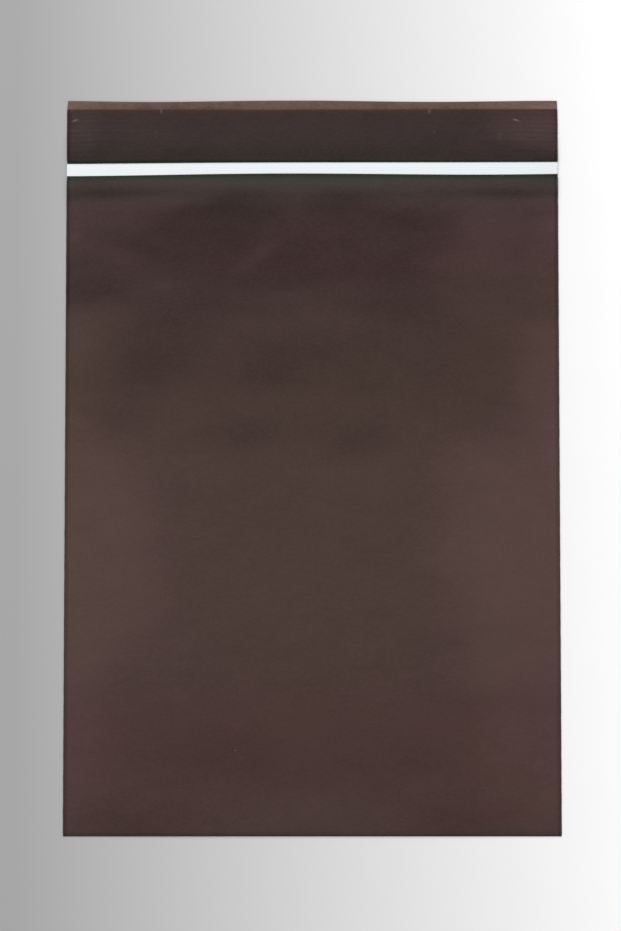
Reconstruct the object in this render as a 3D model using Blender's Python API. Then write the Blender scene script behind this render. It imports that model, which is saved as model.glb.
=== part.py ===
"""A flat zipper bag of brown plastic film, empty and pressed shut, lying on its rear panel.

Metres, +Z up. The mouth is towards +Y and the front panel faces up. The origin is at the middle of
the rear panel, on the surface that the bag lies on.

Every piece is a section drawn across the bag, from the bottom fold to the mouth, and run from one
side weld to the other. One squeeze then brings all of them down together towards the side welds,
so pieces that clear each other in the section clear each other everywhere.
"""

import math

import bmesh
import bpy
import numpy as np

# Overall size of the bag, as it lies flat
BAG_WIDTH = 0.2032
BAG_LENGTH = 0.3556

# Film, and the room that the bottom fold and the air left in the bag keep between its panels
FILM = 0.00012
FOLD_RADIUS = 0.0001
AIR_ROOM = 0.0024
FOLD_SLOPE = 0.085
ZIPPER_SLOPE = 0.040

# Heights along the front, from the mouth down
REAR_LIP_RISE = 0.0040
FRONT_LIP_HEIGHT = 0.0270
STRIP_HEIGHT = 0.0056

# Zipper tracks
FILM_LAP = 0.0032
FLANGE = 0.00026
STEM_WIDTH = 0.00056
HEAD_WIDTH = 0.00124
HEAD_HEIGHT = 0.00052
TIP_WIDTH = 0.00044
HOOK_WALL = 0.00034
HOOK_LIP = 0.00026
CORNER = 0.00008

# Clearances: between the two tracks, and between a film and the track that it is welded to
TRACK_CLEARANCE = 0.00010
FILM_CLEARANCE = 0.00010

# Mouth of the bag: the front lip comes down towards the rear lip, and has ribs for the fingers
MOUTH_ROOM = 0.00045
RIB_PITCH = 0.0022
RIB_FOOT = 0.0008
RIB_TOP = 0.0003
RIB_HEIGHT = 0.00008
RIB_MARGIN = 0.0020

# Side welds: their width, the share of the room between the films that is left in them, and the
# distance over which the room comes up to its full height
WELD_WIDTH = 0.0015
BODY_SQUEEZE = 0.03
ZIPPER_SQUEEZE = 0.36
LIP_SQUEEZE = 0.12
BODY_RUN = 0.060
ZIPPER_RUN = 0.014
SQUEEZE_BLEND = 0.018

# How finely curved stretches are divided
STATIONS_PER_HALF = 8
PANEL_STEPS = 9
PANEL_CROWDING = 1.5
LIP_STEPS = 10
CORNER_STEPS = 3
FOLD_STEPS = 6
MERGE = 1e-7
SMOOTH_ANGLE = math.radians(35)

# Colours of the four pieces
BODY_BROWN = (0.071, 0.042, 0.037)
LIP_BROWN = (0.045, 0.030, 0.029)
TRACK_WHITE = (0.85, 0.86, 0.87)
HIDDEN_WHITE = (0.80, 0.81, 0.82)

# Places along the bag
BOTTOM_Y = -BAG_LENGTH / 2
MOUTH_Y = BAG_LENGTH / 2
LIP_TOP_Y = MOUTH_Y - REAR_LIP_RISE
STRIP_TOP_Y = LIP_TOP_Y - FRONT_LIP_HEIGHT
STRIP_BOTTOM_Y = STRIP_TOP_Y - STRIP_HEIGHT
ZIPPER_Y = (STRIP_TOP_Y + STRIP_BOTTOM_Y) / 2
FLANGE_HALF = STRIP_HEIGHT / 2 + FILM_LAP
SLOT_END_Y = STRIP_BOTTOM_Y - FILM_LAP - FILM_CLEARANCE
LIP_LEVEL_Y = STRIP_TOP_Y + FILM_LAP + FILM_CLEARANCE
FOLD_OUTER_RADIUS = FOLD_RADIUS + FILM
FOLD_Y = BOTTOM_Y + FOLD_OUTER_RADIUS

# Heights through the zipper, from the rear film up
REAR_FLANGE_Z = FILM + FILM_CLEARANCE
REAR_WEB_TOP = REAR_FLANGE_Z + FLANGE
HOOK_TIP_Z = REAR_WEB_TOP + TRACK_CLEARANCE
HOOK_LEDGE_Z = HOOK_TIP_Z + HOOK_LIP
HEAD_Z = HOOK_LEDGE_Z + TRACK_CLEARANCE
HEAD_TOP_Z = HEAD_Z + HEAD_HEIGHT
FRONT_FLANGE_Z = HEAD_TOP_Z + TRACK_CLEARANCE
FRONT_FACE_Z = FRONT_FLANGE_Z + FLANGE
FRONT_FILM_Z = FRONT_FACE_Z + FILM_CLEARANCE
FRONT_TOP_Z = FRONT_FILM_Z + FILM


def clear_scene():
    for thing in list(bpy.data.objects):
        bpy.data.objects.remove(thing, do_unlink=True)


def collection_named(name):
    collection = bpy.data.collections.new(name)
    bpy.context.scene.collection.children.link(collection)
    return collection


def plastic(name, colour, roughness):
    material = bpy.data.materials.new(name)
    material.use_nodes = True
    shader = material.node_tree.nodes["Principled BSDF"]
    shader.inputs["Base Color"].default_value = (*colour, 1.0)
    shader.inputs["Roughness"].default_value = roughness
    shader.inputs["Metallic"].default_value = 0.0
    material.diffuse_color = (*colour, 1.0)
    return material


def ease(share):
    """0 to 1, level at both ends."""
    return (1 - np.cos(np.pi * np.clip(share, 0, 1))) / 2


def rounded(corners, steps=CORNER_STEPS):
    """The outline through (y, z, radius) corners, with an arc of that radius at each corner."""
    outline = []
    count = len(corners)
    for i, (y, z, radius) in enumerate(corners):
        here = np.array((y, z))
        if radius == 0:
            outline.append(here)
            continue
        before = np.array(corners[i - 1][:2]) - here
        after = np.array(corners[(i + 1) % count][:2]) - here
        before /= np.linalg.norm(before)
        after /= np.linalg.norm(after)
        half_angle = math.acos(np.clip(before @ after, -1, 1)) / 2
        reach = radius / math.tan(half_angle)
        inward = (before + after) / np.linalg.norm(before + after)
        centre = here + inward * radius / math.sin(half_angle)
        first = here + before * reach - centre
        last = here + after * reach - centre
        sweep = math.pi - 2 * half_angle
        for step in range(steps + 1):
            share = step / steps
            arc = math.sin((1 - share) * sweep) * first + math.sin(share * sweep) * last
            outline.append(centre + arc / math.sin(sweep))
    return outline


def stations():
    """Places across the bag where every section has its points, close together near the welds."""
    half = BAG_WIDTH / 2
    shares = np.linspace(0, 1, STATIONS_PER_HALF + 1)
    right = (half - WELD_WIDTH) * (1 - (1 - shares) ** 2)
    return [*-right[:0:-1], *right]


def room(y):
    """Height of the room between the films, along the middle of the bag: up from the bottom fold
    to the air left in the bag, level over the zipper, then down to the rear lip."""
    fold = 2 * FOLD_RADIUS
    zipper = FRONT_FILM_Z - FILM
    rise = np.sin(np.clip((y - FOLD_Y) / FOLD_SLOPE, 0, 1) * np.pi / 2)
    drop = ease((y - SLOT_END_Y + ZIPPER_SLOPE) / ZIPPER_SLOPE)
    fall = ease((y - LIP_LEVEL_Y) / (LIP_TOP_Y - LIP_LEVEL_Y))
    in_bag = fold + (AIR_ROOM - fold) * rise + (zipper - AIR_ROOM) * drop
    in_mouth = zipper + (MOUTH_ROOM - zipper) * fall
    return np.where(y < SLOT_END_Y, in_bag, in_mouth)


def squeeze(x, y):
    """The share that is left of the room between the films, at x across the bag and y along it."""
    zones = [SLOT_END_Y - SQUEEZE_BLEND, SLOT_END_Y, LIP_LEVEL_Y, LIP_TOP_Y]
    least = np.interp(y, zones, [BODY_SQUEEZE, ZIPPER_SQUEEZE, ZIPPER_SQUEEZE, LIP_SQUEEZE])
    run = np.interp(y, zones, [BODY_RUN, ZIPPER_RUN, ZIPPER_RUN, ZIPPER_RUN])
    inward = np.clip((BAG_WIDTH / 2 - WELD_WIDTH - abs(x)) / run, 0, 1)
    return least + (1 - least) * (1 - (1 - inward) ** 2)


def pressed(x, y, z):
    """Height after the squeeze: the films keep their thickness and the room between them shrinks."""
    above_rear_film = np.clip(z - FILM, 0, room(y))
    return z - above_rear_film * (1 - squeeze(x, y))


def extruded(outline, half_width):
    """The mesh of a 2D curve through the outline's (y, z) points, thickened along local Z."""
    curve = bpy.data.curves.new("section", "CURVE")
    curve.dimensions = "2D"
    curve.fill_mode = "BOTH"
    curve.extrude = half_width
    spline = curve.splines.new("POLY")
    spline.points.add(len(outline) - 1)
    for point, (y, z) in zip(spline.points, outline):
        point.co = (y, z, 0, 1)
    spline.use_cyclic_u = True
    drawn = bpy.data.objects.new("section", curve)
    bpy.context.scene.collection.objects.link(drawn)
    bpy.context.view_layer.update()
    graph = bpy.context.evaluated_depsgraph_get()
    mesh = bpy.data.meshes.new_from_object(drawn.evaluated_get(graph))
    bpy.data.objects.remove(drawn, do_unlink=True)
    return mesh


def run_across(outline, half_width=BAG_WIDTH / 2):
    """A closed shape whose section is the outline, run across the bag and squeezed at its sides."""
    shape = bmesh.new()
    shape.from_mesh(extruded(outline, half_width))
    bmesh.ops.remove_doubles(shape, verts=shape.verts, dist=MERGE)
    for x in stations():
        everything = shape.verts[:] + shape.edges[:] + shape.faces[:]
        bmesh.ops.bisect_plane(
            shape, geom=everything, dist=MERGE, plane_co=(0, 0, x), plane_no=(0, 0, 1)
        )
    for vertex in shape.verts:
        y, z, x = vertex.co
        vertex.co = (x, y, pressed(x, y, z))
    bmesh.ops.recalc_face_normals(shape, faces=shape.faces)
    if shape.calc_volume(signed=True) < 0:
        bmesh.ops.reverse_faces(shape, faces=shape.faces)
    return shape


def placed(name, shape, collection, material):
    """The object that holds a finished shape."""
    mesh = bpy.data.meshes.new(name)
    shape.to_mesh(mesh)
    shape.free()
    mesh.materials.append(material)
    mesh.shade_smooth()
    mesh.set_sharp_from_angle(angle=SMOOTH_ANGLE)
    solid = bpy.data.objects.new(name, mesh)
    collection.objects.link(solid)
    return solid


def fold_arc(radius):
    """The bottom fold at that radius, from the front panel round to the rear one."""
    turns = np.linspace(np.pi / 2, 3 * np.pi / 2, FOLD_STEPS + 1)
    return list(zip(FOLD_Y + radius * np.cos(turns), FOLD_OUTER_RADIUS + radius * np.sin(turns)))


def front_film(places, above=0):
    """Points at a height above the front film's inner face, at those places along the bag."""
    return [(y, FILM + room(y) + above) for y in places]


def panel_places():
    """Places along the front panel, from the zipper down to the fold, where they crowd."""
    steps = np.linspace(0, 1, PANEL_STEPS)
    high = SLOT_END_Y - steps * ZIPPER_SLOPE
    low = FOLD_Y + FOLD_SLOPE * (1 - steps[:-1]) ** PANEL_CROWDING
    return [*high, *low]


def body_outline():
    """The folded bag from outside, with the slot between its panels that takes the tracks."""
    mouth = [(MOUTH_Y, 0), (MOUTH_Y, FILM), (SLOT_END_Y, FILM), (SLOT_END_Y, FRONT_FILM_Z)]
    edge = [(STRIP_BOTTOM_Y, FRONT_FILM_Z), (STRIP_BOTTOM_Y, FRONT_TOP_Z)]
    return mouth + edge + front_film(panel_places(), FILM) + fold_arc(FOLD_OUTER_RADIUS)


def inside_outline():
    """The room between the panels, one film short of the outline all round."""
    return [(SLOT_END_Y, FILM)] + front_film(panel_places()) + fold_arc(FOLD_RADIUS)


def open_doorway(shape, half_width):
    """Takes away the faces where the room between the panels meets the slot."""
    doorway = [
        face
        for face in shape.faces
        if all(abs(vertex.co.y - SLOT_END_Y) < MERGE for vertex in face.verts)
        and abs(face.calc_center_median().x) < half_width
    ]
    bmesh.ops.delete(shape, geom=doorway, context="FACES_ONLY")


def folded_film():
    """One sheet of film: rear panel, rear lip and front panel, welded along both sides and open
    only between the tracks. The room inside ends at the welds."""
    inside_half = BAG_WIDTH / 2 - WELD_WIDTH
    sheet = run_across(body_outline())
    open_doorway(sheet, inside_half)
    inside = run_across(inside_outline(), inside_half)
    open_doorway(inside, inside_half)
    bmesh.ops.reverse_faces(inside, faces=inside.faces)
    lining = bpy.data.meshes.new("inside_of_bag")
    inside.to_mesh(lining)
    inside.free()
    sheet.from_mesh(lining)
    bmesh.ops.remove_doubles(sheet, verts=sheet.verts, dist=MERGE)
    return sheet


def rear_track_outline():
    """Flat flange with the arrow-headed rib standing on its middle."""
    stem = STEM_WIDTH / 2
    head = HEAD_WIDTH / 2
    tip = TIP_WIDTH / 2
    right = [
        (FLANGE_HALF, REAR_FLANGE_Z, 0),
        (FLANGE_HALF, REAR_WEB_TOP, 0),
        (stem, REAR_WEB_TOP, 0),
        (stem, HEAD_Z, 0),
        (head, HEAD_Z, CORNER),
        (tip, HEAD_TOP_Z, CORNER),
    ]
    return mirrored_section(right)


def front_track_outline():
    """Flat flange, whose upper face is the white line, with two hooks under its middle."""
    mouth = STEM_WIDTH / 2 + TRACK_CLEARANCE
    inner = HEAD_WIDTH / 2 + TRACK_CLEARANCE
    outer = inner + HOOK_WALL
    right = [
        (FLANGE_HALF, FRONT_FACE_Z, 0),
        (FLANGE_HALF, FRONT_FLANGE_Z, 0),
        (outer, FRONT_FLANGE_Z, 0),
        (outer, HOOK_TIP_Z, CORNER),
        (mouth, HOOK_TIP_Z, CORNER),
        (mouth, HOOK_LEDGE_Z, 0),
        (inner, HOOK_LEDGE_Z, 0),
        (inner, FRONT_FLANGE_Z, 0),
    ]
    return mirrored_section(right)


def mirrored_section(right):
    """The outline whose right half is given, about the zipper's middle line."""
    left = [(-y, z, radius) for y, z, radius in reversed(right)]
    return [(ZIPPER_Y + y, z) for y, z in rounded(right + left)]


def front_lip_outline():
    """The film above the zipper, lapped on the track and coming down towards the rear lip, with
    its ribs along the outer face."""
    under = front_film([STRIP_TOP_Y, *np.linspace(LIP_LEVEL_Y, LIP_TOP_Y, LIP_STEPS + 1)])
    over = front_film([LIP_TOP_Y], FILM)
    ribbed = LIP_TOP_Y - STRIP_TOP_Y - 2 * RIB_MARGIN
    for i in range(int(ribbed / RIB_PITCH) + 1):
        middle = LIP_TOP_Y - RIB_MARGIN - i * RIB_PITCH
        foot = front_film([middle + RIB_FOOT / 2, middle - RIB_FOOT / 2], FILM)
        top = front_film([middle + RIB_TOP / 2, middle - RIB_TOP / 2], FILM + RIB_HEIGHT)
        over += [foot[0], *top, foot[1]]
    over += front_film([STRIP_TOP_Y], FILM)
    return under + over


def main():
    clear_scene()
    bag = collection_named("zipper_bag")
    film = plastic("brown_film", BODY_BROWN, 0.45)
    lip_film = plastic("brown_lip_film", LIP_BROWN, 0.5)
    white = plastic("white_front_track", TRACK_WHITE, 0.35)
    hidden_white = plastic("white_rear_track", HIDDEN_WHITE, 0.4)
    pieces = [
        placed("bag_body", folded_film(), bag, film),
        placed("front_lip", run_across(front_lip_outline()), bag, lip_film),
        placed("zipper_front_track", run_across(front_track_outline()), bag, white),
        placed("zipper_rear_track", run_across(rear_track_outline()), bag, hidden_white),
    ]
    origin = bpy.data.objects.new("zipper_bag_origin", None)
    bag.objects.link(origin)
    for piece in pieces:
        piece.parent = origin


main()
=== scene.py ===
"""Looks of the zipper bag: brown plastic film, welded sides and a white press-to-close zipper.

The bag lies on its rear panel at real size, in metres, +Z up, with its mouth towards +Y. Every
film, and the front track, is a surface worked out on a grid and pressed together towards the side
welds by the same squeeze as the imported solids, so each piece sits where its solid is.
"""

from __future__ import annotations

import sys
import logging
import math
from dataclasses import dataclass, field, replace
from enum import Enum

import bpy
import numpy as np
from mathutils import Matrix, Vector
from numpy.typing import NDArray


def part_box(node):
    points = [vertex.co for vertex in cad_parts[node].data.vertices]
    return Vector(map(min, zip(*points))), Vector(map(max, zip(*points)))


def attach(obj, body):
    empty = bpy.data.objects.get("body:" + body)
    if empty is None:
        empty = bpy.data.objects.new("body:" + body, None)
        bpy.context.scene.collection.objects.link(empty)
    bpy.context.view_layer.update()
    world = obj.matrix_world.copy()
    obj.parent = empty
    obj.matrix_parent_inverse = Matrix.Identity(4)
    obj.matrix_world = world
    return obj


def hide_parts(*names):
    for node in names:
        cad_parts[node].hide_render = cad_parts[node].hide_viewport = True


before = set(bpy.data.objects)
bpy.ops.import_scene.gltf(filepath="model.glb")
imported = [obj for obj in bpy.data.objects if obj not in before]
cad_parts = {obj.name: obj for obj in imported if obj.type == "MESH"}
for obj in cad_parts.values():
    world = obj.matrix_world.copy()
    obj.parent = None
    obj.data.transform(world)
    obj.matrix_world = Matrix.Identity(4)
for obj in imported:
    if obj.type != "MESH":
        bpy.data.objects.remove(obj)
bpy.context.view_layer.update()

Array = NDArray[np.float64]
Triple = tuple[float, float, float]
Colour = Triple

MM = 0.001
log = logging.getLogger("zipper_bag")


class Slot(Enum):
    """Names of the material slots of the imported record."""

    BODY_FILM = "body_film"
    LIP_FILM = "lip_film"
    WHITE_TRACK = "white_track"
    HIDDEN_TRACK = "hidden_track"


class Side(Enum):
    """The two welded sides of the bag, with the sign of their place across it."""

    LEFT = -1
    RIGHT = 1


def ease(share: Array) -> Array:
    """Half a cosine wave from 0 to 1, level at both ends."""
    return (1 - np.cos(np.pi * np.clip(share, 0, 1))) / 2


def bell(distance: Array, reach: float | Array, power: int = 2) -> Array:
    """Bell curve exp(-(distance / reach)^power), with a flatter top for a higher even power.

    Args:
        distance: Distances from its middle.
        reach: Distance at which it has fallen to 1 / e.
        power: The even power.

    Returns:
        The curve at each place, from 0 to 1.
    """
    return np.exp(-((distance / reach) ** power))


@dataclass(frozen=True)
class Line:
    """A soft line beside an edge: its strength, its distance in from the edge and its reach."""

    strength: float
    inset: float
    reach: float

    def at(self, distance: Array) -> Array:
        """Strength of the line at each distance in from the edge."""
        return self.strength * bell(distance - self.inset, self.reach)


def lines_at(lines: tuple[Line, ...], distance: Array) -> Array:
    """Sum of several lines at each distance in from the edge."""
    return np.sum([line.at(distance) for line in lines], axis=0)


@dataclass(frozen=True)
class Zone:
    """A soft oval patch in millimetres, strongest in its middle.

    The strength at a point is strength * exp(-(a^2 + b^2)^edge), where a and b are the point's
    distances from the middle along the oval's two axes, as shares of its two reaches. An edge
    above 1 gives a flatter middle and a clearer rim.
    """

    x: float
    y: float
    reach_x: float
    reach_y: float
    strength: float
    turn: float = 0.0
    edge: float = 1.0

    def at(self, x: Array, y: Array) -> Array:
        """Strength of the patch.

        Args:
            x: Places across the bag, in metres.
            y: Places along the bag, in metres.

        Returns:
            The strength at each place.
        """
        angle = math.radians(self.turn)
        across = x / MM - self.x
        along = y / MM - self.y
        a = (across * math.cos(angle) + along * math.sin(angle)) / self.reach_x
        b = (along * math.cos(angle) - across * math.sin(angle)) / self.reach_y
        return self.strength * np.exp(-((a**2 + b**2) ** self.edge))


def zones_at(zones: tuple[Zone, ...], x: Array, y: Array) -> Array:
    """Sum of several patches.

    Args:
        zones: The patches.
        x: Places across the bag, in metres.
        y: Places along the bag, in metres.

    Returns:
        The summed strength at each place.
    """
    return np.sum([zone.at(x, y) for zone in zones], axis=0)


# Wave lengths, in metres, that bend the outlines of patches: two sines across and two along.
WANDER_WAVES = ((0.0067, 0.031, 0.0151, -0.019), (0.0073, -0.037, 0.0173, 0.023))
SECOND_WAVE = 0.6


@dataclass(frozen=True)
class Patches:
    """A mark of the film: one value all over, and the soft patches that depart from it."""

    base: float
    zones: tuple[Zone, ...] = ()
    wander: float = 0.0

    def at(self, x: Array, y: Array) -> Array:
        """Value of the mark.

        The patches' outlines wander: each place is looked up a few millimetres off, by slow sines
        of the other coordinate.

        Args:
            x: Places across the bag, in metres.
            y: Places along the bag, in metres.

        Returns:
            The value at each place.
        """
        off_x, off_y = (
            self.wander * MM * (np.sin(way / a + side / b) + SECOND_WAVE * np.sin(way / c + side / d))
            for (way, side), (a, b, c, d) in zip(((y, x), (x, y)), WANDER_WAVES)
        )
        return self.base + zones_at(self.zones, x + off_x, y + off_y)


@dataclass(frozen=True)
class Tint:
    """What a line, an edge or an end adds to a film's three marks."""

    tone: float = 0.0
    warmth: float = 0.0
    plum: float = 0.0


@dataclass
class Marks:
    """Tone, warmth and plum tint of a film at each of its points."""

    tone: Array
    warmth: Array
    plum: Array

    def add(self, share: Array, tint: Tint) -> None:
        """Adds a tint, as strongly at each point as the share says."""
        self.tone = self.tone + share * tint.tone
        self.warmth = self.warmth + share * tint.warmth
        self.plum = self.plum + share * tint.plum

    def go_over(self, share: Array, other: Marks) -> None:
        """Goes over to other marks, wholly where the share is 1."""
        self.tone = self.tone + share * (other.tone - self.tone)
        self.warmth = self.warmth + share * (other.warmth - self.warmth)
        self.plum = self.plum + share * (other.plum - self.plum)

    def named(self, darkest: float, lightest: float) -> dict[str, Array]:
        """The marks by name, the tone held between two limits that keep its colour a real one."""
        tone = np.clip(self.tone, darkest, lightest)
        return {"tone": tone, "warmth": self.warmth, "plum": self.plum}


@dataclass(frozen=True)
class EdgeWander:
    """The slow wander of a cut film edge, in millimetres along the bag.

    It is a mean offset plus half waves over the bag's width: for the n-th pair of heights,
    sine * sin(n pi x / width) + cosine * cos(n pi x / width).
    """

    mean: float
    pairs: tuple[tuple[float, float], ...]

    def at(self, x: Array, width: float) -> Array:
        """Offset of the edge along the bag.

        Args:
            x: Places across the bag, in metres.
            width: Width of the bag, in metres.

        Returns:
            The offset at each place, in metres.
        """
        counts = np.arange(1, len(self.pairs) + 1)[:, None]
        turns = counts * np.pi * np.ravel(x)[None, :] / width
        heights = np.array(self.pairs)
        waves = heights[:, :1] * np.sin(turns) + heights[:, 1:] * np.cos(turns)
        return (self.mean + waves.sum(axis=0)).reshape(np.shape(x)) * MM


@dataclass(frozen=True)
class Swell:
    """One broad wave of the lying film: its length and height in millimetres and its heading."""

    length: float
    height: float
    heading: float
    phase: float
    bend: float = 0.9
    bend_length: float = 2.3
    bend_phase: float = 1.7

    def at(self, x: Array, y: Array) -> Array:
        """Height of the wave, height * sin(2 pi way / length + phase), bent a little by a slower one.

        Args:
            x: Places across the bag, in metres.
            y: Places along the bag, in metres.

        Returns:
            The height at each place, in metres.
        """
        angle = math.radians(self.heading)
        way = (x * math.cos(angle) + y * math.sin(angle)) / MM
        across = (y * math.cos(angle) - x * math.sin(angle)) / MM
        slow = 2 * np.pi * across / (self.bend_length * self.length) + self.bend_phase * self.phase
        bend = self.bend * np.sin(slow)
        return self.height * MM * np.sin(2 * np.pi * way / self.length + self.phase + bend)


@dataclass(frozen=True)
class BagShape:
    """Sizes of the lying bag, and the squeeze that all of its layers share. Metres."""

    half_width: float
    bottom_y: float
    mouth_y: float
    lip_top_y: float
    strip_top_y: float
    flange_low_y: float
    flange_high_y: float
    front_face_z: float
    film: float = 0.00012
    film_lap: float = 0.0032
    clearance: float = 0.0001
    fold_radius: float = 0.0001
    air_room: float = 0.0024
    fold_slope: float = 0.085
    zipper_slope: float = 0.040
    mouth_room: float = 0.00045
    weld_width: float = 0.0015
    body_squeeze: float = 0.03
    zipper_squeeze: float = 0.36
    lip_squeeze: float = 0.12
    body_run: float = 0.060
    zipper_run: float = 0.014
    squeeze_blend: float = 0.018
    spread_share: float = 0.62

    @classmethod
    def from_frame(cls) -> BagShape:
        """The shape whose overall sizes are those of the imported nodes.

        Returns:
            The shape.
        """
        body_low, body_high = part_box("bag_body")
        lip_low, lip_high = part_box("front_lip")
        track_low, track_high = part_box("zipper_front_track")
        return cls(
            half_width=body_high[0],
            bottom_y=body_low[1],
            mouth_y=body_high[1],
            lip_top_y=lip_high[1],
            strip_top_y=lip_low[1],
            flange_low_y=track_low[1],
            flange_high_y=track_high[1],
            front_face_z=track_high[2],
        )

    @property
    def width(self) -> float:
        """Full width of the bag."""
        return 2 * self.half_width

    @property
    def strip_low_y(self) -> float:
        """Upper edge of the front panel, where the white strip begins."""
        return self.flange_low_y + self.film_lap

    @property
    def zipper_y(self) -> float:
        """Middle line of the zipper."""
        return (self.flange_low_y + self.flange_high_y) / 2

    @property
    def slot_end_y(self) -> float:
        """Lower end of the slot that holds the tracks."""
        return self.flange_low_y - self.clearance

    @property
    def lip_level_y(self) -> float:
        """Where the front lip leaves the track and starts to come down."""
        return self.flange_high_y + self.clearance

    @property
    def fold_outer(self) -> float:
        """Outer radius of the bottom fold."""
        return self.fold_radius + self.film

    @property
    def fold_y(self) -> float:
        """Middle of the bottom fold."""
        return self.bottom_y + self.fold_outer

    @property
    def zipper_room(self) -> float:
        """Height between the two films at the zipper."""
        return self.front_face_z + self.clearance - self.film

    def room(self, y: Array) -> Array:
        """Height between the films along the middle of the bag.

        It rises from the fold as a quarter sine, stays level, eases to the zipper's height, and
        above the zipper eases down to the rear lip.

        Args:
            y: Places along the bag.

        Returns:
            The height at each place.
        """
        fold = 2 * self.fold_radius
        rise = np.sin(np.clip((y - self.fold_y) / self.fold_slope, 0, 1) * np.pi / 2)
        drop = ease((y - self.slot_end_y + self.zipper_slope) / self.zipper_slope)
        fall = ease((y - self.lip_level_y) / (self.lip_top_y - self.lip_level_y))
        in_bag = fold + (self.air_room - fold) * rise + (self.zipper_room - self.air_room) * drop
        in_mouth = self.zipper_room + (self.mouth_room - self.zipper_room) * fall
        return np.where(y < self.slot_end_y, in_bag, in_mouth)

    def squeeze(self, x: Array, y: Array) -> Array:
        """Share of the room that is left at a place: least in the weld, a parabola up from it.

        Args:
            x: Places across the bag.
            y: Places along the bag.

        Returns:
            The share at each place, from 0 to 1.
        """
        ends = [
            self.slot_end_y - self.squeeze_blend,
            self.slot_end_y,
            self.lip_level_y,
            self.lip_top_y,
        ]
        shares = [self.body_squeeze, self.zipper_squeeze, self.zipper_squeeze, self.lip_squeeze]
        least = np.interp(y, ends, shares)
        run = np.interp(y, ends, [self.body_run] + [self.zipper_run] * 3)
        inward = np.clip((self.half_width - self.weld_width - abs(x)) / run, 0, 1)
        return least + (1 - least) * (1 - (1 - inward) ** 2)

    def pressed(self, x: Array, y: Array, z: Array) -> Array:
        """Height after the squeeze, in which films keep their thickness and the room shrinks.

        Args:
            x: Places across the bag.
            y: Places along the bag.
            z: Heights before the squeeze.

        Returns:
            The heights after it.
        """
        above_rear_film = np.clip(z - self.film, 0, self.room(y))
        return z - above_rear_film * (1 - self.squeeze(x, y))

    def front_height(self, x: Array, y: Array) -> Array:
        """Height of the front film's outer face at each place."""
        return self.pressed(x, y, self.room(y) + 2 * self.film)

    def side_distance(self, x: Array) -> Array:
        """Distance in from the nearer side edge."""
        return self.half_width - abs(x)

    def end_spread(self, x: Array, y: Array) -> Array:
        """How far a film edge moves towards the mouth where the zipper's ends are pressed flat.

        It is a share of the height that the squeeze takes away at that place.

        Args:
            x: Places across the bag.
            y: Places along the bag.

        Returns:
            The move at each place.
        """
        return self.spread_share * (self.front_height(0 * x, y) - self.front_height(x, y))


@dataclass
class Surface:
    """A grid of points, row by row, that becomes one mesh object.

    The outer side is the one from which rows run against the clock round the columns' direction:
    rows towards -Y and columns towards +X face up.
    """

    name: str
    points: Array
    closed_rows: bool = False
    capped: bool = False
    marks: dict[str, Array] = field(default_factory=dict)

    def build(self) -> bpy.types.Object:
        """Makes the mesh: one quad between each four neighbouring points, and end caps if asked.

        Returns:
            The object.
        """
        rows, columns = self.points.shape[:2]
        index = np.arange(rows * columns).reshape(rows, columns)
        ring = np.vstack([index, index[:1]]) if self.closed_rows else index
        corners = [ring[:-1, :-1], ring[1:, :-1], ring[1:, 1:], ring[:-1, 1:]]
        faces = np.stack(corners, axis=-1).reshape(-1, 4).tolist()
        if self.capped:
            faces += [index[::-1, 0].tolist(), index[:, -1].tolist()]
        mesh = bpy.data.meshes.new(self.name)
        mesh.from_pydata(self.points.reshape(-1, 3), [], faces)
        for mark, values in self.marks.items():
            attribute = mesh.attributes.new(mark, "FLOAT", "POINT")
            attribute.data.foreach_set("value", np.ravel(values).astype(np.float32))
        mesh.shade_smooth()
        mesh.update()
        piece = bpy.data.objects.new(self.name, mesh)
        bpy.context.scene.collection.objects.link(piece)
        return piece


def thicken(piece: bpy.types.Object, thickness: float) -> None:
    """Gives a film its thickness inwards, with its second material on the inner side.

    Args:
        piece: The film, as a sheet of its outer face.
        thickness: Thickness of the film.
    """
    wall = piece.modifiers.new("film_thickness", "SOLIDIFY")
    wall.thickness = thickness
    wall.offset = -1
    wall.use_rim = True
    wall.material_offset = 1
    wall.material_offset_rim = 0


def joined(name: str, parts: list[bpy.types.Object]) -> bpy.types.Object:
    """Several objects as one piece.

    Args:
        name: Name of the piece.
        parts: The objects, of which the first takes in the others.

    Returns:
        The piece.
    """
    first = parts[0]
    with bpy.context.temp_override(
        active_object=first, selected_editable_objects=parts, selected_objects=parts
    ):
        bpy.ops.object.join()
    first.name = name
    first.data.name = name
    return first


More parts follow.
